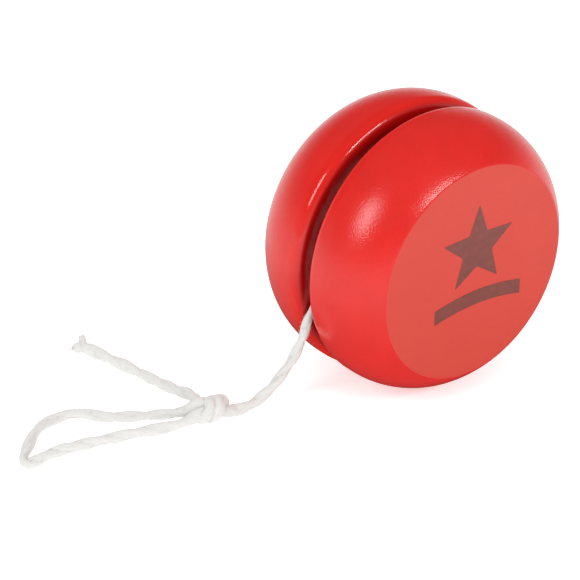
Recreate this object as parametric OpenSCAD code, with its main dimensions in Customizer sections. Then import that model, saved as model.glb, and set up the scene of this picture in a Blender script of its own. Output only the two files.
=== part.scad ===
// Wooden yo-yo standing on its rims, with its string wound on the axle and
// the loose end, with a finger loop, lying on the surface beside it.
// The axle runs along Y, the printed face looks along -Y, and the origin is
// on the surface, right below the middle of the axle.

/* [Body] */
// Diameter of both halves at the rim
body_d = 55; // [44:0.5:66]
// Width across the two flat faces
body_w = 34.5; // [28:0.5:42]
// Diameter of each flat face
face_d = 43; // [34:0.5:43.5]
// Width of the level band at full diameter on each half
rim_w = 1.45; // [0.5:0.05:2.5]
// Radius of the rounded lip on each side of the slot
lip_r = 2; // [0.6:0.1:2.6]

/* [Slot and axle] */
// Width of the slot between the halves
slot_w = 2.6; // [2.2:0.1:4]
// Diameter of the dowel that joins the halves
axle_d = 8; // [6:0.5:10]
// Depth of the dowel in each half
axle_seat = 9; // [7:0.5:11]
// Air left behind each end of the dowel
seat_gap = 0.8; // [0.3:0.1:2]
// Chamfer on the ends of the dowel
axle_chamfer = 0.8; // [0.3:0.1:1.2]
// Squeeze of the glued dowel in its hole, on the radius
dowel_squeeze = 0.02; // [0:0.01:0.05]

/* [String] */
// Thickness of the string
string_d = 1.8; // [1.2:0.1:2.1]
// Turns of string wound on the axle
wound_turns = 9; // [3:1:10]
// Running clearance of the string's eye on the axle, on the radius
eye_play = 0.08; // [0.01:0.01:0.1]
// Clearance of the wound string from each wall of the slot
side_play = 0.12; // [0.05:0.01:0.3]

/* [Knot] */
// Length of the knot along the string
knot_l = 6.2; // [5:0.1:8]
// Thickness of the knot across its middle
knot_d = 4.8; // [4:0.1:6]
// Thickness of the knot at its ends
knot_end_d = 3.6; // [3:0.1:4]

/* [Hidden] */

$fn = 96;
body_r = body_d / 2;
face_r = face_d / 2;
axle_r = axle_d / 2;
string_r = string_d / 2;
half_w = body_w / 2;
slot_h = slot_w / 2;
knot_r = knot_d / 2;
axle_z = body_r;

// The shoulder is one arc, tangent to the rim band, that ends at the flat face.
shoulder_y = slot_h + lip_r + rim_w;
shoulder_w = half_w - shoulder_y;
shoulder_drop = body_r - face_r;
shoulder_r = (pow(shoulder_w, 2) + pow(shoulder_drop, 2)) / (2 * shoulder_drop);

// The wound turns lie in two lanes, each turn in the valley of the last two. In a
// wide slot they lie side by side, and two turns rise by one thickness of string.
winding_w = slot_w - 2 * side_play;
lane_gap = winding_w - string_d;
valley_rise = sqrt(max(0, pow(string_d, 2) - pow(lane_gap, 2)));
turn_rise = max(string_r, valley_rise);
eye_r = axle_r + eye_play;
eye_outer_r = eye_r + string_d;
winding_r = eye_outer_r + turn_rise * (wound_turns - 1);

// The last turn has sprung loose and swells evenly from the winding towards the rim.
loose_from = 78;
loose_to = 188;
loose_steps = 6;
loose_start_r = winding_r + 0.7 * string_r;
loose_end_r = body_r - 4.2;
function loose_point(i) =
    let (
        share = i / loose_steps,
        angle = loose_from + (loose_to - loose_from) * share,
        r = loose_start_r + (loose_end_r - loose_start_r) * share
    )
    [r * cos(angle), 0, axle_z + r * sin(angle)];

// From the slot down to the surface and along it into the knot.
fall_points = [
    [-25.4, 0.2, 19.2], [-26.1, 1.0, 15.1], [-26.6, 2.4, 11.2], [-28.1, 3.8, 7.2],
    [-31.2, 4.9, 3.4], [-34.8, 5.6, 1.4], [-38.0, 6.0, 1.3], [-40.4, 6.3, 2.0]
];
lead_points = concat([for (i = [0:loose_steps]) loose_point(i)], fall_points);

// Out of the knot along the near strand, round the tip and back.
loop_points = [
    [-45.4, 8.0, 2.4], [-47.6, 8.6, 1.5], [-50.2, 9.4, 1.0], [-53.8, 10.6, 1.0],
    [-57.5, 12.0, 1.0], [-62.0, 13.4, 1.0], [-66.4, 14.7, 1.0], [-70.8, 15.8, 1.0],
    [-74.6, 16.1, 1.0], [-77.2, 15.8, 1.0], [-79.0, 16.0, 1.0], [-78.6, 17.8, 1.0],
    [-77.0, 19.4, 1.0], [-74.5, 21.6, 1.0], [-71.4, 24.0, 1.0], [-68.6, 25.2, 1.0],
    [-65.6, 25.3, 1.0], [-62.7, 24.9, 1.0], [-60.7, 23.3, 1.0], [-58.4, 20.1, 1.0],
    [-55.1, 17.4, 1.0], [-51.3, 15.0, 1.0], [-48.3, 12.9, 1.2], [-46.5, 10.9, 2.0],
    [-45.0, 9.6, 2.8]
];

// From the far side of the knot down to the surface and along it.
tail_points = [
    [-43.4, 10.0, 3.0], [-42.9, 12.8, 2.8], [-42.8, 16.8, 2.0], [-43.0, 21.0, 1.3],
    [-43.4, 25.4, 1.0], [-44.1, 30.4, 1.0], [-45.0, 35.3, 1.0], [-45.8, 39.8, 1.0],
    [-46.6, 43.2, 1.0]
];

knot_at = [-42.8, 8.0, knot_r];
knot_turn = 160;

red_paint = [0.88, 0.17, 0.15];
bare_wood = [0.82, 0.68, 0.48];
cotton = [0.93, 0.92, 0.89];

// Half of the body: radius along X, distance from the middle along Y.
module half_outline() {
    difference() {
        intersection() {
            translate([0, slot_h]) square([body_r, half_w - slot_h]);
            union() {
                square([body_r, shoulder_y]);
                square([body_r - shoulder_r, half_w]);
                translate([body_r - shoulder_r, shoulder_y]) circle(shoulder_r, $fn = 240);
            }
        }
        // rounded lip
        difference() {
            translate([body_r - lip_r, slot_h]) square(lip_r);
            translate([body_r - lip_r, slot_h + lip_r]) circle(lip_r);
        }
        // blind hole for the dowel
        square([axle_r - dowel_squeeze, slot_h + axle_seat + seat_gap]);
    }
}

// Stands a solid that was turned about Z on the axle, with its +Z side at the rear.
module on_axle() {
    translate([0, 0, axle_z]) rotate([-90, 0, 0]) children();
}

module turned_half() {
    rotate_extrude($fn = 180) half_outline();
}

module front_half() {
    color(red_paint) on_axle() mirror([0, 0, 1]) turned_half();
}

module rear_half() {
    color(red_paint) on_axle() turned_half();
}

module axle() {
    end = slot_h + axle_seat;
    body = end - axle_chamfer;
    color(bare_wood) on_axle() rotate_extrude() polygon([
        [0, -end], [axle_r - axle_chamfer, -end], [axle_r, -body],
        [axle_r, body], [axle_r - axle_chamfer, end], [0, end]
    ]);
}

// A ring round the axle with the cross-section of the string that it stands for.
module ring(inner_r, outer_r) {
    on_axle() rotate_extrude()
        translate([inner_r, -winding_w / 2]) square([outer_r - inner_r, winding_w]);
}

module axle_eye() {
    color(cotton) ring(eye_r, eye_outer_r);
}

module string_winding() {
    color(cotton) ring(eye_outer_r, winding_r);
}

// A tube of 8 sides with one ring at each point. side is a direction that the
// route never follows.
tube_sides = 8;
function unit(v) = v / norm(v);
function heading(p, i) = unit(p[min(i + 1, len(p) - 1)] - p[max(i - 1, 0)]);
function tube_ring(p, i, side) =
    let (along = heading(p, i), u = unit(cross(along, side)), v = cross(along, u))
    [for (k = [0:tube_sides - 1])
        let (a = 360 * (k + 0.5) / tube_sides)
        p[i] + string_r * (cos(a) * u + sin(a) * v)];

module string_tube(points, side) {
    rings = len(points);
    corners = [for (i = [0:rings - 1]) each tube_ring(points, i, side)];
    walls = [for (i = [0:rings - 2], k = [0:tube_sides - 1])
        let (n = (k + 1) % tube_sides, a = i * tube_sides, b = a + tube_sides)
        each [[a + k, b + k, a + n], [a + n, b + k, b + n]]];
    first = [[for (k = [0:tube_sides - 1]) k]];
    last_start = (rings - 1) * tube_sides;
    last = [[for (k = [tube_sides - 1:-1:0]) last_start + k]];
    color(cotton) polyhedron(corners, concat(walls, first, last), convexity = 6);
}

module string_lead() {
    string_tube(lead_points, [0, 1, 0]);
}

module finger_loop() {
    string_tube(loop_points, [0, 0, 1]);
}

module string_tail() {
    string_tube(tail_points, [0, 0, 1]);
}

// A barrel with its axis level along the string.
module string_knot() {
    bulge = (knot_d - knot_end_d) / 2;
    bow_r = (pow(knot_l / 2, 2) + pow(bulge, 2)) / (2 * bulge);
    color(cotton) translate(knot_at) rotate([0, 90, knot_turn]) rotate_extrude()
        intersection() {
            translate([0, -knot_l / 2]) square([knot_r, knot_l]);
            translate([knot_r - bow_r, 0]) circle(bow_r, $fn = 240);
        }
}

front_half();
rear_half();
axle();
axle_eye();
string_winding();
string_lead();
string_knot();
finger_loop();
string_tail();
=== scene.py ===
"""Wooden yo-yo: two turned and painted halves on a dowel, with a cotton string.

The halves stand on their rims, the printed face looks along -Y, and the loose end of
the string lies on the floor at the -X side, tied into a finger loop.
"""

import math
import random

import bmesh
import bpy
import numpy as np
from mathutils import Matrix, Vector


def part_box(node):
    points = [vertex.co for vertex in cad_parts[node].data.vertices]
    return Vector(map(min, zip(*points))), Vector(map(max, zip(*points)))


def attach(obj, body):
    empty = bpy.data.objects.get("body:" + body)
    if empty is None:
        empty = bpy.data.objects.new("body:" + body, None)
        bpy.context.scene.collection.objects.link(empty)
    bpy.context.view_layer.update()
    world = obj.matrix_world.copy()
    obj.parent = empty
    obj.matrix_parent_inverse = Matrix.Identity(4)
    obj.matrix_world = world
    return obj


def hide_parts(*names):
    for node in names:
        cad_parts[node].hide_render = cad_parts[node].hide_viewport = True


bl_info = {
    "name": "Wooden yo-yo",
    "version": (1, 0, 0),
    "blender": (4, 5, 0),
    "location": "3D View > Sidebar > Yo-yo",
    "description": "Turns, paints, prints and strings a wooden yo-yo, and sets its stage",
    "category": "Object",
}

MM = 0.001

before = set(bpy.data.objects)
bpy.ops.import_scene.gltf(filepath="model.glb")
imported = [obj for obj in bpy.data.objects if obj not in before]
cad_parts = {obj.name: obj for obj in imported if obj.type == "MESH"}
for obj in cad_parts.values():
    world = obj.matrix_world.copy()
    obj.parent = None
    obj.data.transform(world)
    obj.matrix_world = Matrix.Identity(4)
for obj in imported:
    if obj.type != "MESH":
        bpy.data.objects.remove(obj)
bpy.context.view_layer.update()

front_low, front_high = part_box("front_half")
rear_low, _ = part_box("rear_half")
winding_low, winding_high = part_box("string_winding")
eye_low, eye_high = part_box("axle_eye")
axle_low, axle_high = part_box("axle")

AXLE_HEIGHT = (axle_low.z + axle_high.z) / 2
BODY_RADIUS = (front_high.z - front_low.z) / 2
FACE_PLANE = -front_low.y
SLOT_WALL = rear_low.y
AXLE_RADIUS = (axle_high.x - axle_low.x) / 2
AXLE_END = axle_high.y
WINDING_RADIUS = (winding_high.x - winding_low.x) / 2
EYE_OUTER_RADIUS = (eye_high.x - eye_low.x) / 2


# ---------------------------------------------------------------- settings


class YoyoBodySettings(bpy.types.PropertyGroup):
    face_radius: bpy.props.FloatProperty(
        name="Face radius", description="Radius of each flat face",
        default=21.5 * MM, unit="LENGTH")
    rim_width: bpy.props.FloatProperty(
        name="Rim width", description="Level band at full diameter",
        default=1.45 * MM, unit="LENGTH")
    lip_radius: bpy.props.FloatProperty(
        name="Lip radius", description="Rounding of the lip beside the slot",
        default=2.0 * MM, unit="LENGTH")
    edge_radius: bpy.props.FloatProperty(
        name="Edge rounding", description="Sanded rounding of the edge of the face",
        default=0.3 * MM, unit="LENGTH")
    hole_clearance: bpy.props.FloatProperty(
        name="Air behind dowel", description="Depth of the hole past the dowel's end",
        default=0.8 * MM, unit="LENGTH")
    segments: bpy.props.IntProperty(
        name="Segments", description="Facets round the axle", default=288, min=48)
    paint: bpy.props.FloatVectorProperty(
        name="Paint", description="Colour of the gloss paint", subtype="COLOR",
        size=3, default=(0.60, 0.014, 0.010), min=0, max=1)
    # paler and lighter than the gloss paint: a painted reflection of the bright room on the satin
    # faces
    face_paint_and_reflection: bpy.props.FloatVectorProperty(
        name="Face paint", description="Colour of the paint on the sanded flat faces",
        subtype="COLOR", size=3, default=(0.56, 0.036, 0.018), min=0, max=1)
    bare_wood: bpy.props.FloatVectorProperty(
        name="Bare wood", description="Colour of the dowel", subtype="COLOR",
        size=3, default=(0.62, 0.42, 0.23), min=0, max=1)


class YoyoPrintSettings(bpy.types.PropertyGroup):
    tilt: bpy.props.FloatProperty(
        name="Tilt", description="How far the print is turned on the face",
        default=math.radians(-1.5), unit="ROTATION")
    star_radius: bpy.props.FloatProperty(
        name="Star radius", description="Middle of the star to its points",
        default=9.0 * MM, unit="LENGTH")
    ink_depth: bpy.props.FloatProperty(
        name="Ink depth", description="Thickness of the printed ink",
        default=0.03 * MM, unit="LENGTH")
    ink: bpy.props.FloatVectorProperty(
        name="Ink", description="Colour of the printed ink", subtype="COLOR",
        size=3, default=(0.185, 0.037, 0.026), min=0, max=1)


class YoyoStringSettings(bpy.types.PropertyGroup):
    thickness: bpy.props.FloatProperty(
        name="Thickness", description="Thickness of the string",
        default=1.8 * MM, unit="LENGTH")
    lay: bpy.props.FloatProperty(
        name="Lay", description="Length of string in which its plies turn once",
        default=13.5 * MM, unit="LENGTH")
    turns: bpy.props.IntProperty(
        name="Wound turns", description="Turns wound on the axle", default=9, min=2)
    ring_gap: bpy.props.FloatProperty(
        name="Ring gap", description="Distance between rings of the string's mesh",
        default=0.4 * MM, unit="LENGTH")
    fibres: bpy.props.IntProperty(
        name="Loose fibres", description="Fibres that stand off the string",
        default=1500, min=0)
    cotton: bpy.props.FloatVectorProperty(
        name="Cotton", description="Colour of the string", subtype="COLOR",
        size=3, default=(0.63, 0.628, 0.605), min=0, max=1)


class YoyoStageSettings(bpy.types.PropertyGroup):
    floor: bpy.props.FloatVectorProperty(
        name="Floor", description="Colour of the floor", subtype="COLOR",
        size=3, default=(0.88, 0.88, 0.88), min=0, max=1)
    floor_glow: bpy.props.FloatProperty(
        name="Floor glow", description="Light of the lit floor itself", default=0.5)
    lens: bpy.props.FloatProperty(
        name="Lens", description="Focal length in millimetres", default=196.9)
    key_power: bpy.props.FloatProperty(
        name="Key power", description="Watts of the softbox on the left", default=17.5)
    fill_power: bpy.props.FloatProperty(
        name="Fill power", description="Watts of the softbox in front", default=18)
    room_light: bpy.props.FloatProperty(
        name="Room light", description="Strength of the light from the pale room",
        default=1.0)


# ---------------------------------------------------------------- helpers


def deselect():
    """Leaves no object selected, so that the next operator works on its own piece."""
    bpy.ops.object.select_all(action="DESELECT")


def shown_name(piece, name):
    """Names a piece and its mesh alike."""
    piece.name = name
    piece.data.name = name
    return piece


def choose(piece, kind, test):
    """Selects the faces or edges of a piece in edit mode that pass a test."""
    mesh = bmesh.from_edit_mesh(piece.data)
    for part in (mesh.verts, mesh.edges, mesh.faces):
        for item in part:
            item.select = False
    for item in getattr(mesh, kind):
        if test(item):
            item.select_set(True)
    mesh.select_flush_mode()
    bmesh.update_edit_mesh(piece.data)


def select_mode(kind):
    bpy.ops.mesh.select_mode(type={"edges": "EDGE", "faces": "FACE"}[kind])


def radius_of(point):
    """How far a point is from the axis of the axle."""
    return math.hypot(point.x, point.z - AXLE_HEIGHT)


def settle(piece):
    """Puts a piece's place in its mesh, with its object at the origin."""
    deselect()
    piece.select_set(True)
    bpy.context.view_layer.objects.active = piece
    bpy.ops.object.transform_apply(location=True, rotation=True, scale=True)


def give(piece, material):
    """Gives a piece one material, in place of any that it has."""
    piece.data.materials.clear()
    piece.data.materials.append(material)


def new_material(name):
    """A material with its nodes cleared down to the shader and the output."""
    material = bpy.data.materials.new(name)
    material.use_nodes = True
    nodes = material.node_tree.nodes
    return material, nodes, material.node_tree.links, nodes["Principled BSDF"]


def node(nodes, kind, **values):
    """A new node with its sockets and its own settings filled in by name."""
    item = nodes.new(kind)
    for key, value in values.items():
        if key in item.inputs:
            item.inputs[key].default_value = value
        else:
            setattr(item, key, value)
    return item


def ramp(nodes, stops):
    """A colour ramp with stops of a place and a colour."""
    item = nodes.new("ShaderNodeValToRGB")
    item.color_ramp.elements[0].position = stops[0][0]
    item.color_ramp.elements[0].color = (*stops[0][1], 1)
    item.color_ramp.elements[1].position = stops[-1][0]
    item.color_ramp.elements[1].color = (*stops[-1][1], 1)
    for place, colour in stops[1:-1]:
        item.color_ramp.elements.new(place).color = (*colour, 1)
    return item


def shade(colour, factor):
    """A lighter or darker tone of a colour."""
    return tuple(min(1, c * factor) for c in colour)


def mapped(nodes, links, value, start, end, low=0.0, high=1.0):
    """A value that runs from low to high while another runs from start to end."""
    item = nodes.new("ShaderNodeMapRange")
    limits = {"From Min": start, "From Max": end, "To Min": low, "To Max": high}
    for name, limit in limits.items():
        item.inputs[name].default_value = limit
    links.new(value, item.inputs["Value"])
    return item.outputs["Result"]


# Where a Mix node has its sockets A, B and Result, for each kind of value.
MIX_SOCKETS = {"FLOAT": (2, 3, 0), "RGBA": (6, 7, 2)}


def blend(nodes, links, share, first, second, kind="RGBA"):
    """A blend of two values or colours, which are given or come from other nodes."""
    item = node(nodes, "ShaderNodeMix", data_type=kind)
    *ends, result = MIX_SOCKETS[kind]
    links.new(share, item.inputs[0])
    for end, source in zip(ends, (first, second)):
        if isinstance(source, bpy.types.NodeSocket):
            links.new(source, item.inputs[end])
        else:
            item.inputs[end].default_value = source
    return item.outputs[result]


def place_and_stretch(nodes, links, scale):
    """Object coordinates, as they are and drawn out along the axle."""
    place = nodes.new("ShaderNodeTexCoord").outputs["Object"]
    stretch = node(nodes, "ShaderNodeMapping")
    stretch.inputs["Scale"].default_value = scale
    links.new(place, stretch.inputs["Vector"])
    return place, stretch.outputs["Vector"]


def noise(nodes, links, place, **values):
    """A noise texture that is read at a place."""
    item = node(nodes, "ShaderNodeTexNoise", **values)
    links.new(place, item.inputs["Vector"])
    return item.outputs["Fac"]


def toned(nodes, links, value, stops):
    """A colour ramp that is read with a value."""
    item = ramp(nodes, stops)
    links.new(value, item.inputs["Fac"])
    return item.outputs["Color"]


def bumped(nodes, links, height, **values):
    """A bump from a height."""
    item = node(nodes, "ShaderNodeBump", **values)
    links.new(height, item.inputs["Height"])
    return item


# ---------------------------------------------------------------- finishes


def past_wall(distance):
    """A distance along the axle, in millimetres past the wall of the slot."""
    return SLOT_WALL + distance * MM


def gloss_paint(colour, face_colour_and_reflection):
    """Sprayed gloss over turned wood: orange peel, raised grain, a little mottle.

    The flat faces are sanded back to a satin, and their paint is made a little lighter
    and paler as a painted reflection of the bright room. The slot's paint is darkened
    as painted shade, and the slot is duller, and its lips are polished by the string.
    """
    material, nodes, links, shader = new_material("red_gloss_paint")
    place, stretch = place_and_stretch(nodes, links, (1, 0.35, 1))

    # each zone runs from 0 to 1 with the distance from the middle of the slot
    axes = nodes.new("ShaderNodeSeparateXYZ")
    links.new(place, axes.inputs["Vector"])
    absolute = node(nodes, "ShaderNodeMath", operation="ABSOLUTE")
    links.new(axes.outputs["Y"], absolute.inputs[0])
    reach = absolute.outputs["Value"]
    out_of_slot_shade = mapped(nodes, links, reach, past_wall(0.05), past_wall(0.45))
    off_lip = mapped(nodes, links, reach, past_wall(2.3), past_wall(3.2))
    on_flat = mapped(nodes, links, reach, FACE_PLANE - 0.08 * MM, FACE_PLANE - 0.01 * MM)

    # colour: mottled paint, with painted shade in the slot and a painted reflection on the flat
    # faces
    mottle = noise(nodes, links, place, Scale=150, Detail=3)
    tone = toned(nodes, links, mottle, [
        (0.3, shade(colour, 0.96)), (0.7, shade(colour, 1.04))])
    # the flat faces' paint is paler and lighter, as a painted reflection of the bright room
    face_tone_and_reflection = toned(nodes, links, mottle, [
        (0.3, shade(face_colour_and_reflection, 0.985)), (0.7, shade(face_colour_and_reflection, 1.015))])
    # the slot's paint is darkened here as painted shade, standing in for the shade deep in the
    # narrow slot
    painted_slot_shade = (0.6 * colour[0], 0.1 * colour[1], 0.1 * colour[2], 1)
    outside = blend(nodes, links, out_of_slot_shade, painted_slot_shade, tone)
    painted = blend(nodes, links, on_flat, outside, face_tone_and_reflection)
    links.new(painted, shader.inputs["Base Color"])

    # roughness: satin in the slot, polished on the lips, glossy on the shoulder
    smear = noise(nodes, links, stretch, Scale=500, Detail=3)
    shoulder = mapped(nodes, links, smear, 0, 1, 0.19, 0.26)
    lip = mapped(nodes, links, reach, past_wall(0.1), past_wall(0.5), 0.28, 0.1)
    turned = blend(nodes, links, off_lip, lip, shoulder, kind="FLOAT")
    sanded = 0.5
    roughness = blend(nodes, links, on_flat, turned, sanded, kind="FLOAT")
    links.new(roughness, shader.inputs["Roughness"])

    # orange peel, which the string has worn off the lips, over the grain of the wood
    peel = noise(nodes, links, place, Scale=3800, Detail=0)
    peel_bump = bumped(nodes, links, peel, Distance=0.00006)
    peel_depth = mapped(nodes, links, off_lip, 0, 1, 0.1, 0.45)
    links.new(peel_depth, peel_bump.inputs["Strength"])
    grain = noise(nodes, links, stretch, Scale=420, Detail=2, Roughness=0.4)
    grain_bump = bumped(nodes, links, grain, Strength=0.025, Distance=0.0003)
    links.new(peel_bump.outputs["Normal"], grain_bump.inputs["Normal"])
    links.new(grain_bump.outputs["Normal"], shader.inputs["Normal"])

    shader.inputs["IOR"].default_value = 1.5
    return material


def dowel_wood(colour):
    """Bare beech: fine straight grain along the axle, with short dark flecks."""
    material, nodes, links, shader = new_material("bare_beech")
    _, stretch = place_and_stretch(nodes, links, (1, 0.06, 1))
    grain = noise(nodes, links, stretch, Scale=1400, Detail=6, Distortion=0.3)
    tone = toned(nodes, links, grain, [
        (0.28, shade(colour, 0.62)), (0.45, colour), (0.75, shade(colour, 1.15))])
    links.new(tone, shader.inputs["Base Color"])
    bump = bumped(nodes, links, grain, Strength=0.4, Distance=0.0001)
    links.new(bump.outputs["Normal"], shader.inputs["Normal"])
    shader.inputs["Roughness"].default_value = 0.7
    return material


def pad_ink(colour):
    """Pad-printed ink: thin, satin, slightly uneven where the pad lifted."""
    material, nodes, links, shader = new_material("maroon_print_ink")
    place = nodes.new("ShaderNodeTexCoord").outputs["Object"]
    mottle = noise(nodes, links, place, Scale=900, Detail=4)
    tone = toned(nodes, links, mottle, [
        (0.3, shade(colour, 0.9)), (0.75, shade(colour, 1.12))])
    links.new(tone, shader.inputs["Base Color"])
    bump = bumped(nodes, links, mottle, Strength=0.15, Distance=0.0001)
    links.new(bump.outputs["Normal"], shader.inputs["Normal"])
    shader.inputs["Roughness"].default_value = 0.42
    return material


def cotton_yarn(colour):
    """Twisted cotton: fine fibres along the plies, soft shade in the creases."""
    material, nodes, links, shader = new_material("cotton_string")
    place = node(nodes, "ShaderNodeUVMap", uv_map="along_string")
    slant = node(nodes, "ShaderNodeMapping")
    slant.inputs["Scale"].default_value = (26, 5, 1)
    slant.inputs["Rotation"].default_value = (0, 0, math.radians(12))
    links.new(place.outputs["UV"], slant.inputs["Vector"])
    strands = noise(
        nodes, links, slant.outputs["Vector"], Scale=1.0, Detail=5, Roughness=0.62)
    tone = toned(nodes, links, strands, [
        (0.25, shade(colour, 0.88)), (0.5, colour), (0.8, shade(colour, 1.06))])
    links.new(tone, shader.inputs["Base Color"])
    bump = bumped(nodes, links, strands, Strength=0.5, Distance=0.00012)
    links.new(bump.outputs["Normal"], shader.inputs["Normal"])
    shader.inputs["Roughness"].default_value = 0.92
    shader.inputs["Specular IOR Level"].default_value = 0.2
    shader.inputs["Sheen Weight"].default_value = 0.25
    shader.inputs["Sheen Roughness"].default_value = 0.6
    return material


def plain_floor(colour, glow):
    """Matt white paper on a light table, painted dark close by the yo-yo where it is seen
    mirrored, as a painted shadow.
    """
    material, nodes, links, shader = new_material("pale_floor")
    mirror_ray = nodes.new("ShaderNodeLightPath").outputs["Is Glossy Ray"]
    lit = mapped(nodes, links, mirror_ray, 0, 1, glow, 0)
    links.new(lit, shader.inputs["Emission Strength"])
    shader.inputs["Emission Color"].default_value = (1, 1, 1, 1)

    place = nodes.new("ShaderNodeTexCoord")
    distance = node(nodes, "ShaderNodeVectorMath", operation="LENGTH")
    links.new(place.outputs["Object"], distance.inputs[0])
    # the paper is darker close by the yo-yo for mirror rays: a painted shadow that only its
    # reflections show
    near, far, mirrored_shadow_tone = 30 * MM, 90 * MM, 0.15
    mirrored = mapped(nodes, links, distance.outputs["Value"], near, far, mirrored_shadow_tone, 1)
    tone = blend(nodes, links, mirror_ray, 1.0, mirrored, kind="FLOAT")
    paper = toned(nodes, links, tone, [(0.0, (0, 0, 0)), (1.0, colour)])
    links.new(paper, shader.inputs["Base Color"])
    shader.inputs["Roughness"].default_value = 1.0
    shader.inputs["Specular IOR Level"].default_value = 0.0
    return material


# ---------------------------------------------------------------- wooden parts


# Width of the ring inside each rounded edge that keeps the flat beside it flat.
KEPT_RING = 0.1 * MM


def pick_circle(half, side, reach):
    """Selects the circle of edges at a distance from the middle of the slot."""
    select_mode("edges")
    choose(half, "edges", lambda e: all(
        abs(side * v.co.y - reach) < 1e-6 and radius_of(v.co) > 1e-3 for v in e.verts))


def pick_end(half, way):
    """Selects the flat round end that looks along +Y or -Y."""
    select_mode("faces")
    choose(half, "faces", lambda f: way * f.normal.y > 0.9999 and len(f.verts) > 40)


def draw_out(way, distance, share):
    """Draws the selected end out along Y and changes its radius."""
    bpy.ops.mesh.extrude_region_move(
        TRANSFORM_OT_translate={"value": (0, way * distance, 0)})
    bpy.ops.transform.resize(
        value=(share, 1, share), center_override=(0, 0, AXLE_HEIGHT))


def turn_shoulder(half, side, body, shoulder):
    """Draws the shoulder out of the blank's outer end, in narrow steps of one arc."""
    steps = 30
    depth = FACE_PLANE - shoulder
    drop = BODY_RADIUS - body.face_radius
    arc = (depth**2 + drop**2) / (2 * drop)
    sweep = math.asin(depth / arc)
    pick_end(half, side)
    radius, reach = BODY_RADIUS, shoulder
    for i in range(1, steps + 1):
        angle = sweep * i / steps
        next_radius = BODY_RADIUS - arc + arc * math.cos(angle)
        next_reach = shoulder + arc * math.sin(angle)
        draw_out(side, next_reach - reach, next_radius / radius)
        radius, reach = next_radius, next_reach


def bore_hole(side, body):
    """Bores the blind hole for the dowel in the selected wall, with a broken edge."""
    broken = 0.1 * MM
    wall_radius = BODY_RADIUS - body.lip_radius - KEPT_RING
    bpy.ops.mesh.inset(thickness=wall_radius - AXLE_RADIUS - broken)
    draw_out(side, broken, AXLE_RADIUS / (AXLE_RADIUS + broken))
    bottom = AXLE_END + body.hole_clearance
    bpy.ops.mesh.extrude_region_move(
        TRANSFORM_OT_translate={"value": (0, side * (bottom - SLOT_WALL - broken), 0)})


def turned_half(name, side, body, material):
    """One half, turned from a blank: side is -1 for the front half, 1 for the rear."""
    shoulder = SLOT_WALL + body.lip_radius + body.rim_width
    deselect()
    bpy.ops.mesh.primitive_cylinder_add(
        vertices=body.segments, radius=BODY_RADIUS, depth=shoulder - SLOT_WALL,
        end_fill_type="NGON", location=(0, side * (SLOT_WALL + shoulder) / 2, AXLE_HEIGHT),
        rotation=(math.radians(90), 0, 0))
    half = shown_name(bpy.context.object, name)
    settle(half)
    bpy.ops.object.mode_set(mode="EDIT")
    turn_shoulder(half, side, body, shoulder)

    # the sanded edge of the face
    pick_circle(half, side, FACE_PLANE)
    bpy.ops.mesh.bevel(offset=body.edge_radius, segments=4, profile=0.5, affect="EDGES")
    pick_end(half, side)
    bpy.ops.mesh.inset(thickness=KEPT_RING)

    # the lip and the wall of the slot
    pick_circle(half, side, SLOT_WALL)
    bpy.ops.mesh.bevel(offset=body.lip_radius, segments=9, profile=0.5, affect="EDGES")
    pick_end(half, -side)
    bpy.ops.mesh.inset(thickness=KEPT_RING)
    bore_hole(side, body)

    bpy.ops.mesh.select_all(action="SELECT")
    bpy.ops.mesh.remove_doubles(threshold=1e-7)
    bpy.ops.mesh.normals_make_consistent(inside=False)
    bpy.ops.object.mode_set(mode="OBJECT")
    bpy.ops.object.shade_smooth_by_angle(angle=math.radians(32))
    give(half, material)
    return half


class YOYO_OT_turn_halves(bpy.types.Operator):
    """Turns the two halves and gives them their gloss paint"""

    bl_idname = "yoyo.turn_halves"
    bl_label = "Turn halves"

    def execute(self, context):
        body = context.scene.yoyo_body
        paint = gloss_paint(tuple(body.paint), tuple(body.face_paint_and_reflection))
        for name, side, replaced in (
                ("turned_front", -1, "front_half"), ("turned_rear", 1, "rear_half")):
            half = turned_half(name, side, body, paint)
            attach(half, "yo_yo_body")
            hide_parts(replaced)
        return {"FINISHED"}


class YOYO_OT_finish_dowel(bpy.types.Operator):
    """Gives the dowel that joins the halves its bare wood"""

    bl_idname = "yoyo.finish_dowel"
    bl_label = "Finish dowel"

    def execute(self, context):
        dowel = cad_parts["axle"]
        give(dowel, dowel_wood(tuple(context.scene.yoyo_body.bare_wood)))
        return {"FINISHED"}


# ---------------------------------------------------------------- print


def on_face(across, up):
    """A place on the front face, from its middle: across along X, up along Z."""
    return Vector((across, -FACE_PLANE, AXLE_HEIGHT + up))


def ink_shape(points, depth, soften):
    """A flat printed shape with softened corners, from points on the face."""
    deselect()
    bpy.ops.mesh.primitive_circle_add(
        vertices=len(points), radius=0.01, fill_type="NGON",
        location=(0, -FACE_PLANE, AXLE_HEIGHT), rotation=(math.radians(90), 0, 0))
    shape = bpy.context.object
    settle(shape)
    mesh = shape.data
    for vert, (across, up) in zip(mesh.vertices, points):
        vert.co = on_face(across, up)
    bpy.ops.object.mode_set(mode="EDIT")
    bpy.ops.mesh.select_all(action="SELECT")
    if soften:
        bpy.ops.mesh.bevel(offset=soften, segments=4, affect="VERTICES")
    bpy.ops.mesh.select_all(action="SELECT")
    bpy.ops.mesh.extrude_region_move(TRANSFORM_OT_translate={"value": (0, -depth, 0)})
    bpy.ops.mesh.select_all(action="SELECT")
    bpy.ops.mesh.normals_make_consistent(inside=False)
    bpy.ops.object.mode_set(mode="OBJECT")
    return shape


def star_points(middle, radius):
    """A five-pointed star, from its upper point."""
    inner = radius * 0.42
    points = []
    for i in range(10):
        angle = math.radians(90 + 36 * i)
        r = inner if i % 2 else radius
        points.append((middle[0] + r * math.cos(angle), middle[1] + r * math.sin(angle)))
    return points


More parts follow.
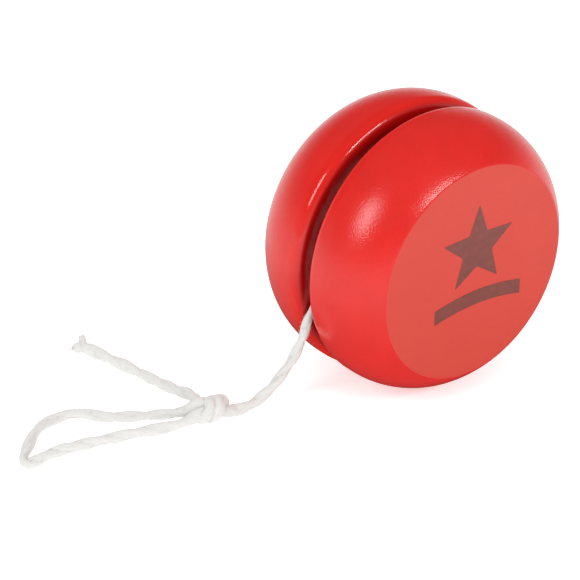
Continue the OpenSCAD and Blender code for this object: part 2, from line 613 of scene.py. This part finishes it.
def bar_points(left, right, base, height):
    """A bar that bows upwards a little between its two ends."""
    steps = 12
    rise = 1.3 * MM
    lower, upper = [], []
    for i in range(steps + 1):
        share = i / steps
        x = left + (right - left) * share
        bow = rise * (1 - (2 * share - 1) ** 2)
        lower.append((x, base + bow))
        upper.append((x, base + height + bow))
    return lower + upper[::-1]


class YOYO_OT_print_face(bpy.types.Operator):
    """Prints a plain star over a bowed bar on the front face"""

    bl_idname = "yoyo.print_face"
    bl_label = "Print face"

    def execute(self, context):
        style = context.scene.yoyo_print
        star = star_points(middle=(0.6 * MM, 5.0 * MM), radius=style.star_radius)
        bar = bar_points(
            left=-9.4 * MM, right=12.0 * MM, base=-8.2 * MM, height=3.0 * MM)
        made = [
            ink_shape(star, style.ink_depth, soften=0.35 * MM),
            ink_shape(bar, style.ink_depth, soften=0)]
        deselect()
        for shape in made:
            shape.select_set(True)
        bpy.context.view_layer.objects.active = made[0]
        bpy.ops.object.join()
        ink = shown_name(bpy.context.object, "face_print")
        bpy.ops.object.mode_set(mode="EDIT")
        bpy.ops.mesh.select_all(action="SELECT")
        bpy.ops.transform.rotate(
            value=style.tilt, orient_axis="Y", center_override=on_face(0, 0))
        bpy.ops.object.mode_set(mode="OBJECT")
        give(ink, pad_ink(tuple(style.ink)))
        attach(ink, "yo_yo_body")
        return {"FINISHED"}


# ---------------------------------------------------------------- string

# The route, in millimetres. The winding ends where the last turn has sprung loose, and
# from there the string falls out of the slot to the floor. The loose turn runs between
# two angles. It starts a little off the winding and ends a little below the rim.
LOOSE_FROM = 78
LOOSE_TO = 188
LOOSE_RISE = 0.63
LOOSE_BELOW_RIM = 4.2
FALL = [
    (-25.4, 0.2, 19.2), (-26.1, 1.0, 15.1), (-26.6, 2.4, 11.2), (-28.1, 3.8, 7.2),
    (-31.2, 4.9, 3.4), (-34.8, 5.6, 1.4), (-38.0, 6.0, 1.3)]
LOOP = [
    (-47.6, 8.6, 1.5), (-50.2, 9.4, 1.0), (-53.8, 10.6, 1.0), (-57.5, 12.0, 1.0),
    (-62.0, 13.4, 1.0), (-66.4, 14.7, 1.0), (-70.8, 15.8, 1.0), (-74.6, 16.1, 1.0),
    (-77.2, 15.8, 1.0), (-79.0, 16.0, 1.0), (-78.6, 17.8, 1.0), (-77.0, 19.4, 1.0),
    (-74.5, 21.6, 1.0), (-71.4, 24.0, 1.0), (-68.6, 25.2, 1.0), (-65.6, 25.3, 1.0),
    (-62.7, 24.9, 1.0), (-60.7, 23.3, 1.0), (-58.4, 20.1, 1.0), (-55.1, 17.4, 1.0),
    (-51.3, 15.0, 1.0), (-48.3, 12.9, 1.2)]
TAIL = [
    (-42.9, 12.8, 2.8), (-42.8, 16.8, 2.0), (-43.0, 21.0, 1.3), (-43.4, 25.4, 1.0),
    (-44.1, 30.4, 1.0), (-45.0, 35.3, 1.0), (-45.8, 39.8, 1.0), (-46.6, 43.2, 1.0)]
KNOT_AT = Vector((-42.8, 8.0, 2.4))
KNOT_ALONG = Vector((-0.94, 0.342, 0)).normalized()
KNOT_ACROSS = Vector((0.342, 0.94, 0)).normalized()


def smooth(x):
    """Runs from 0 to 1 with x, easing in and out."""
    x = min(1.0, max(0.0, x))
    return x * x * (3 - 2 * x)


def round_axle(angle, radius, y):
    """A point at an angle in degrees and a distance from the axis of the axle."""
    a = math.radians(angle)
    return (radius * math.cos(a), y, AXLE_HEIGHT / MM + radius * math.sin(a))


def wound_points(turns, half, lane, rise):
    """The turns on the axle, in two lanes, each in the valley of the last two."""
    step, crossing_sweep, to_middle = 10, 40, 60
    inner = EYE_OUTER_RADIUS / MM - half
    start = LOOSE_FROM - 360 * turns
    crossings = [-90 - (360 + crossing_sweep) * i for i in range(turns)][::-1]
    points = []
    for angle in range(start, LOOSE_FROM - 12, step):
        side = -1 if turns % 2 else 1
        y = side * lane
        for crossing in crossings:
            begun = crossing - crossing_sweep / 2
            y -= side * 2 * lane * smooth((angle - begun) / crossing_sweep)
            side = -side
        y *= 1 - smooth((angle - LOOSE_FROM + to_middle) / to_middle)
        points.append(round_axle(angle, inner + rise * (angle - start) / 360, y))
    return points


def loose_points():
    """The last turn, which has sprung loose and swells out towards the rim."""
    steps = 11
    inner = WINDING_RADIUS / MM + LOOSE_RISE
    outer = BODY_RADIUS / MM - LOOSE_BELOW_RIM
    shares = [i / steps for i in range(steps + 1)]
    return [
        round_axle(LOOSE_FROM + (LOOSE_TO - LOOSE_FROM) * share,
                   inner + (outer - inner) * share, 0.0)
        for share in shares]


def in_knot(along, across, up):
    """A point in the knot, from its middle: along the string, across it and up."""
    return tuple(KNOT_AT + KNOT_ALONG * along + KNOT_ACROSS * across + Vector((0, 0, up)))


def standing_points():
    """The string that the knot is tied round, straight through its middle."""
    return [in_knot(s, -0.65, z) for s, z in (
        (-3.1, -0.7), (-1.8, -0.35), (-0.4, -0.2), (1.0, -0.2), (2.4, -0.4))]


def tied_points():
    """The end of the string: over the top, round twice, back through, and out."""
    points = [in_knot(3.6, 1.1, 0.1), in_knot(2.6, 0.9, 0.9)]
    for turn in range(60, 691, 30):
        a = math.radians(turn)
        along = 1.55 - 1.8 * (turn - 90) / 360 - 1.4 * math.sin(a)
        points.append(in_knot(along, 1.7 * math.cos(a), 1.2 * math.sin(a)))
    points += [
        in_knot(-2.4, 1.9, 0.4), in_knot(-3.0, 1.2, 0.3), in_knot(-2.5, 0.65, 0.1),
        in_knot(-1.4, 0.65, 0.0), in_knot(-0.2, 0.65, -0.1), in_knot(0.8, 0.9, -0.1),
        in_knot(1.5, 1.9, 0.0)]
    return points


def even_route(points, gap):
    """A smooth curve through the points, cut at even distances."""
    p = [Vector(q) for q in points]
    p = [p[0] * 2 - p[1], *p, p[-1] * 2 - p[-2]]
    fine = []
    for a, b, c, d in zip(p, p[1:], p[2:], p[3:]):
        t1 = (b - a).length ** 0.5
        t2 = t1 + (c - b).length ** 0.5
        t3 = t2 + (d - c).length ** 0.5
        pieces = max(3, int((c - b).length / 0.15))
        for i in range(pieces):
            t = t1 + (t2 - t1) * i / pieces
            a1 = a.lerp(b, t / t1)
            a2 = b.lerp(c, (t - t1) / (t2 - t1))
            a3 = c.lerp(d, (t - t2) / (t3 - t2))
            b1 = a1.lerp(a2, t / t2)
            b2 = a2.lerp(a3, (t - t1) / (t3 - t1))
            fine.append(b1.lerp(b2, (t - t1) / (t2 - t1)))
    fine.append(p[-2])
    line = np.array(fine)
    steps = np.linalg.norm(np.diff(line, axis=0), axis=1)
    place = np.concatenate([[0], np.cumsum(steps)])
    count = int(round(place[-1] / gap)) + 1
    even = np.linspace(0, place[-1], count)
    return np.stack([np.interp(even, place, line[:, k]) for k in range(3)], 1)


def carried_frames(route):
    """A direction across the route at each point, carried along it untwisted."""
    ahead = np.gradient(route, axis=0)
    ahead /= np.linalg.norm(ahead, axis=1)[:, None]
    across = np.zeros_like(route)
    u = np.cross(ahead[0], (0.0, 1.0, 0.0))
    for i, t in enumerate(ahead):
        u = u - t * np.dot(u, t)
        u /= np.linalg.norm(u)
        across[i] = u
    return ahead, across, np.cross(ahead, across)


def swept_mesh(name, rings, uv_rows):
    """A closed tube through rings of equal size, with a map that runs along it."""
    count, sides = len(rings), len(rings[0])
    verts = [tuple(v) for ring in rings for v in ring]
    faces, maps = [], []
    for i in range(count - 1):
        for k in range(sides):
            n = (k + 1) % sides
            faces.append((i * sides + k, i * sides + n, (i + 1) * sides + n, (i + 1) * sides + k))
            u0, u1 = k / sides, (k + 1) / sides
            v0, v1 = uv_rows[i], uv_rows[i + 1]
            maps += [(u0, v0), (u1, v0), (u1, v1), (u0, v1)]
    faces.append(tuple(range(sides))[::-1])
    maps += [(k / sides, uv_rows[0]) for k in range(sides)][::-1]
    last = (count - 1) * sides
    faces.append(tuple(last + k for k in range(sides)))
    maps += [(k / sides, uv_rows[-1]) for k in range(sides)]
    mesh = bpy.data.meshes.new(name)
    mesh.from_pydata(verts, [], faces)
    layer = mesh.uv_layers.new(name="along_string")
    layer.data.foreach_set("uv", np.array(maps, np.float32).ravel())
    mesh.polygons.foreach_set("use_smooth", [True] * len(faces))
    mesh.update()
    return mesh


def string_route(settings):
    """The whole route of the string, from its eye on the axle to its free end."""
    half = settings.thickness / MM / 2
    half_lane = (winding_high.y - winding_low.y - settings.thickness) / 2 / MM
    rise = (WINDING_RADIUS - EYE_OUTER_RADIUS) / MM / (settings.turns - 1)
    wound = wound_points(settings.turns, half, half_lane, rise)
    parts = [wound, loose_points(), FALL, standing_points(), LOOP, tied_points(), TAIL]
    points = [q for part in parts for q in part]
    return even_route(points, settings.ring_gap / MM)


def near_knot(route):
    """How far inside the knot each point is, from 0 outside to 1 in its middle."""
    outer, inner = 5.2, 3.6
    distance = np.linalg.norm(route - np.array(KNOT_AT), axis=1)
    return np.clip((outer - distance) / (outer - inner), 0, 1)


def fullness(count, gap):
    """How full the string is along its route: loose at its end, stretched where it falls."""
    from_end = (count - 1 - np.arange(count)) * gap
    return np.interp(
        from_end, (0, 8, 36, 66, 140, 158, 168, 180, 200),
        (1.30, 1.22, 1.14, 1.10, 1.16, 1.14, 1.02, 0.82, 1.0))


def flattened(ring, middle, half):
    """A ring of the string, pressed flat where it meets the floor, a wall or the dowel."""
    air = 0.04
    floor_air = 0.03
    straight_wall = BODY_RADIUS / MM - 2.2
    ring[:, 2] = np.maximum(ring[:, 2], floor_air)
    axle = np.array((0, AXLE_HEIGHT / MM))
    if np.linalg.norm(middle[[0, 2]] - axle) < straight_wall:
        wall = SLOT_WALL / MM - air
        ring[:, 1] = np.clip(ring[:, 1], -wall, wall)
        out = ring[:, [0, 2]] - axle
        reach = np.linalg.norm(out, axis=1, keepdims=True)
        nearest = EYE_OUTER_RADIUS / MM - 2 * half - air
        ring[:, [0, 2]] = axle + out * np.maximum(reach, nearest) / reach
    return ring


def ply_rings(route, settings):
    """Rings of the string's two plies, which turn about each other along it."""
    sides = 24
    half = settings.thickness / MM / 2
    gap = settings.ring_gap / MM
    _, across, over = carried_frames(route)
    full = half * fullness(len(route), gap)
    pressed = near_knot(route)
    # a ply's radius and its middle's distance out, as shares of the string's radius
    ply_share, apart_share = 0.79, 0.30
    rings = []
    for i, middle in enumerate(route):
        s = i * gap
        soft = 1 + 0.05 * math.sin(s / 2.9) + 0.04 * math.sin(s / 1.31 + 2)
        twist = 2 * math.pi * s / (settings.lay / MM) + 0.9 * math.sin(s / 7.3)
        ply = ply_share * full[i] * soft + 0.3 * half * pressed[i]
        apart = apart_share * full[i] * (1 - 0.5 * pressed[i])
        ring = []
        for k in range(sides):
            a = 2 * math.pi * k / sides
            reach = apart * abs(math.cos(a)) + math.sqrt(
                ply**2 - (apart * math.sin(a)) ** 2)
            reach += half * 0.045 * math.sin(5 * a + s * 1.9) * math.sin(2 * a - s * 0.7)
            b = a + twist
            ring.append(middle + reach * (math.cos(b) * across[i] + math.sin(b) * over[i]))
        rings.append(flattened(np.array(ring), middle, half) * MM)
    return rings


def thin_tube(spine, radii, sides):
    """Rings of a fine tube through a few points."""
    route = np.array(spine, float)
    _, across, over = carried_frames(route)
    rings = []
    for middle, u, v, r in zip(route, across, over, radii):
        rings.append([
            (middle + r * (math.cos(a) * u + math.sin(a) * v)) * MM
            for a in (2 * math.pi * k / sides for k in range(sides))])
    return rings


def joined_piece(name, tubes, material):
    """One piece from many short tubes."""
    row_step = 0.06
    deselect()
    for rings in tubes:
        mesh = swept_mesh(name, rings, [row_step * i for i in range(len(rings))])
        part = bpy.data.objects.new(name, mesh)
        bpy.context.scene.collection.objects.link(part)
        part.select_set(True)
    bpy.context.view_layer.objects.active = part
    bpy.ops.object.join()
    piece = shown_name(bpy.context.object, name)
    give(piece, material)
    return piece


def loose_fibres(route, settings, chance):
    """Short fine hairs that stand off the unwound part of the string."""
    ahead, across, over = carried_frames(route)
    half = settings.thickness / MM / 2
    slot_exit = -24.5
    first = np.argmax(route[:, 0] < slot_exit)
    tubes = []
    for _ in range(settings.fibres):
        i = chance.randrange(first, len(route) - 2)
        a = chance.uniform(0, 2 * math.pi)
        out = math.cos(a) * across[i] + math.sin(a) * over[i]
        way = ahead[i] * chance.choice((-1, 1))
        side = np.cross(out, way) * chance.uniform(-0.7, 0.7)
        length = chance.uniform(0.5, 1.7)
        lift = chance.uniform(0.05, 0.45)
        start = route[i] + out * half * 0.72
        spine = []
        for t in (0, 0.35, 0.7, 1.0):
            p = start + (way + side * t) * length * t + out * (0.18 * t + lift * t * t)
            p[2] = max(p[2], 0.05)
            spine.append(p)
        tubes.append(thin_tube(spine, (0.035, 0.03, 0.022, 0.008), 3))
    return tubes


# Where the two plies part at the end of the string, and the blunt tips that they reach.
PLY_TIPS = (
    ((-46.1, 41.0, 1.1), (-46.3, 43.2, 1.3), (-45.8, 44.6, 1.6), (-45.2, 45.6, 1.8)),
    ((-45.9, 40.5, 1.0), (-46.6, 42.8, 1.0), (-47.5, 43.8, 1.0), (-48.4, 44.2, 1.0)),
)


def frayed_plies(chance):
    """The two plies parted at the tip, each ending in a tuft of fibres."""
    gap, tuft = 0.3, 50
    tubes = []
    for points, thick in zip(PLY_TIPS, (0.74, 1.0)):
        spine = even_route(points, gap)
        count = len(spine)
        radii = []
        for i in range(count):
            short = 1 - min(1, (count - 1 - i) * gap / thick)
            radii.append(thick * (1 + 0.08 * math.sin(i * 1.7)) * max(0.2, 1 - short**2) ** 0.5)
        tubes.append(thin_tube(spine, radii, 12))
        tip = spine[-1]
        way = spine[-1] - spine[-3]
        way /= np.linalg.norm(way)
        for _ in range(tuft):
            spread = np.array([chance.gauss(0, 0.4) for _ in range(3)])
            start = tip - way * chance.uniform(0.5, 1.2) + spread * thick * 0.8
            length = chance.uniform(0.4, 0.9)
            end = start + (way + spread * 0.9) * length
            bow = start + (way * 1.1 + spread * 0.25) * length * 0.5
            spine_points = [start, bow, end]
            for p in spine_points:
                p[2] = max(p[2], 0.08)
            tubes.append(thin_tube(spine_points, (0.05, 0.045, 0.02), 4))
    return tubes


class YOYO_OT_fray_string(bpy.types.Operator):
    """Parts the plies at the tip of the string and raises its loose fibres"""

    bl_idname = "yoyo.fray_string"
    bl_label = "Fray string"

    def execute(self, context):
        settings = context.scene.yoyo_string
        chance = random.Random(11)
        cotton = cotton_yarn(tuple(settings.cotton))
        hairs = loose_fibres(string_route(settings), settings, chance)
        for name, tubes in (
                ("string_fibres", hairs), ("frayed_end", frayed_plies(chance))):
            piece = joined_piece(name, tubes, cotton)
            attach(piece, "string")
        return {"FINISHED"}


class YOYO_OT_lay_string(bpy.types.Operator):
    """Winds the string on the axle, knots its finger loop and lays it down"""

    bl_idname = "yoyo.lay_string"
    bl_label = "Lay string"

    def execute(self, context):
        settings = context.scene.yoyo_string
        route = string_route(settings)
        rings = ply_rings(route, settings)
        map_length = 6
        rows = [i * settings.ring_gap / MM / map_length for i in range(len(rings))]
        mesh = swept_mesh("string", rings, rows)
        string = bpy.data.objects.new("string", mesh)
        context.scene.collection.objects.link(string)
        give(string, bpy.data.materials["cotton_string"])
        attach(string, "string")
        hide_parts("axle_eye", "string_winding", "string_lead",
                    "string_knot", "finger_loop", "string_tail")
        return {"FINISHED"}


# ---------------------------------------------------------------- stage


def direction(azimuth, elevation):
    """The direction away from the yo-yo at an azimuth and an elevation, in degrees."""
    a, e = math.radians(azimuth), math.radians(elevation)
    return Vector((math.sin(a) * math.cos(e), -math.cos(a) * math.cos(e), math.sin(e)))


def softbox(name, azimuth, elevation, size, power):
    """A rectangular softbox that faces the yo-yo from a direction."""
    distance = 2.4
    way = direction(azimuth, elevation)
    light = bpy.data.lights.new(name, "AREA")
    light.shape = "RECTANGLE"
    light.size, light.size_y = size
    light.energy = power
    item = bpy.data.objects.new(name, light)
    item.location = Vector((0, 0, AXLE_HEIGHT)) + way * distance
    item.rotation_euler = way.to_track_quat("Z", "Y").to_euler()
    bpy.context.scene.collection.objects.link(item)


def room(strength):
    """A pale room with bright walls, and a ceiling that lights but hardly mirrors."""
    world = bpy.data.worlds.new("room")
    bpy.context.scene.world = world
    world.use_nodes = True
    nodes, links = world.node_tree.nodes, world.node_tree.links
    way = nodes.new("ShaderNodeTexCoord")
    axes = nodes.new("ShaderNodeSeparateXYZ")
    links.new(way.outputs["Generated"], axes.inputs["Vector"])
    height = axes.outputs["Z"]
    light = toned(nodes, links, height, [(0.0, (0.4, 0.4, 0.4)), (0.8, (1, 1, 1))])
    mirrored = toned(nodes, links, height, [
        (0.0, (0.6, 0.6, 0.6)), (0.08, (0.55, 0.55, 0.55)), (0.38, (0.1, 0.1, 0.1))])
    rays = nodes.new("ShaderNodeLightPath").outputs
    lighting = blend(nodes, links, rays["Is Glossy Ray"], light, mirrored)
    white = (1, 1, 1, 1)
    seen = blend(nodes, links, rays["Is Camera Ray"], lighting, white)
    links.new(seen, nodes["Background"].inputs["Color"])
    nodes["Background"].inputs["Strength"].default_value = strength


def set_camera(lens):
    """A long lens that looks down on the printed face from the left."""
    azimuth, elevation, distance = -39.22, 29.91, 0.6
    to_left, down = 23.23 * MM, 9.87 * MM
    camera = bpy.data.cameras.new("camera")
    camera.lens = lens
    camera.sensor_width = 36
    camera.clip_start = 0.01
    camera.dof.use_dof = False
    back = direction(azimuth, elevation)
    right = direction(azimuth + 90, 0)
    up = back.cross(right)
    middle = Vector((0, 0, AXLE_HEIGHT))
    place = middle + back * distance - right * to_left - up * down
    item = bpy.data.objects.new("camera", camera)
    turn = Matrix((right, up, back)).transposed().to_4x4()
    item.matrix_world = Matrix.Translation(place) @ turn
    bpy.context.scene.collection.objects.link(item)
    bpy.context.scene.camera = item


class YOYO_OT_set_stage(bpy.types.Operator):
    """Lays the floor and places the softboxes and the camera"""

    bl_idname = "yoyo.set_stage"
    bl_label = "Set stage"

    def execute(self, context):
        stage = context.scene.yoyo_stage
        deselect()
        bpy.ops.mesh.primitive_plane_add(size=6, location=(0, 0, 0))
        floor = shown_name(bpy.context.object, "floor")
        give(floor, plain_floor(tuple(stage.floor), stage.floor_glow))

        softbox("key_softbox", -87, 36, size=(0.75, 1.05), power=stage.key_power)
        softbox("front_softbox", 8, 36, size=(1.1, 0.25), power=stage.fill_power)
        room(stage.room_light)
        set_camera(stage.lens)
        context.scene.view_settings.view_transform = "Standard"
        return {"FINISHED"}


# ---------------------------------------------------------------- add-on


class YOYO_PT_sidebar(bpy.types.Panel):
    """The settings and the steps, in the order in which they run"""

    bl_idname = "YOYO_PT_sidebar"
    bl_label = "Wooden yo-yo"
    bl_space_type = "VIEW_3D"
    bl_region_type = "UI"
    bl_category = "Yo-yo"

    def draw(self, context):
        for group in GROUPS:
            box = self.layout.box()
            settings = getattr(context.scene, group)
            for name in settings.__annotations__:
                box.prop(settings, name)
        for operator in OPERATORS:
            self.layout.operator(operator.bl_idname)


GROUPS = {
    "yoyo_body": YoyoBodySettings,
    "yoyo_print": YoyoPrintSettings,
    "yoyo_string": YoyoStringSettings,
    "yoyo_stage": YoyoStageSettings,
}
OPERATORS = (
    YOYO_OT_set_stage,
    YOYO_OT_fray_string,
    YOYO_OT_lay_string,
    YOYO_OT_turn_halves,
    YOYO_OT_finish_dowel,
    YOYO_OT_print_face,
)


def register():
    for group, settings in GROUPS.items():
        bpy.utils.register_class(settings)
        setattr(bpy.types.Scene, group, bpy.props.PointerProperty(type=settings))
    for operator in OPERATORS:
        bpy.utils.register_class(operator)
    bpy.utils.register_class(YOYO_PT_sidebar)


def unregister():
    bpy.utils.unregister_class(YOYO_PT_sidebar)
    for operator in reversed(OPERATORS):
        bpy.utils.unregister_class(operator)
    for group, settings in reversed(GROUPS.items()):
        delattr(bpy.types.Scene, group)
        bpy.utils.unregister_class(settings)


def main():
    register()
    bpy.ops.yoyo.set_stage()
    bpy.ops.yoyo.fray_string()
    bpy.ops.yoyo.lay_string()
    bpy.ops.yoyo.turn_halves()
    bpy.ops.yoyo.finish_dowel()
    bpy.ops.yoyo.print_face()


if __name__ == "__main__":
    main()
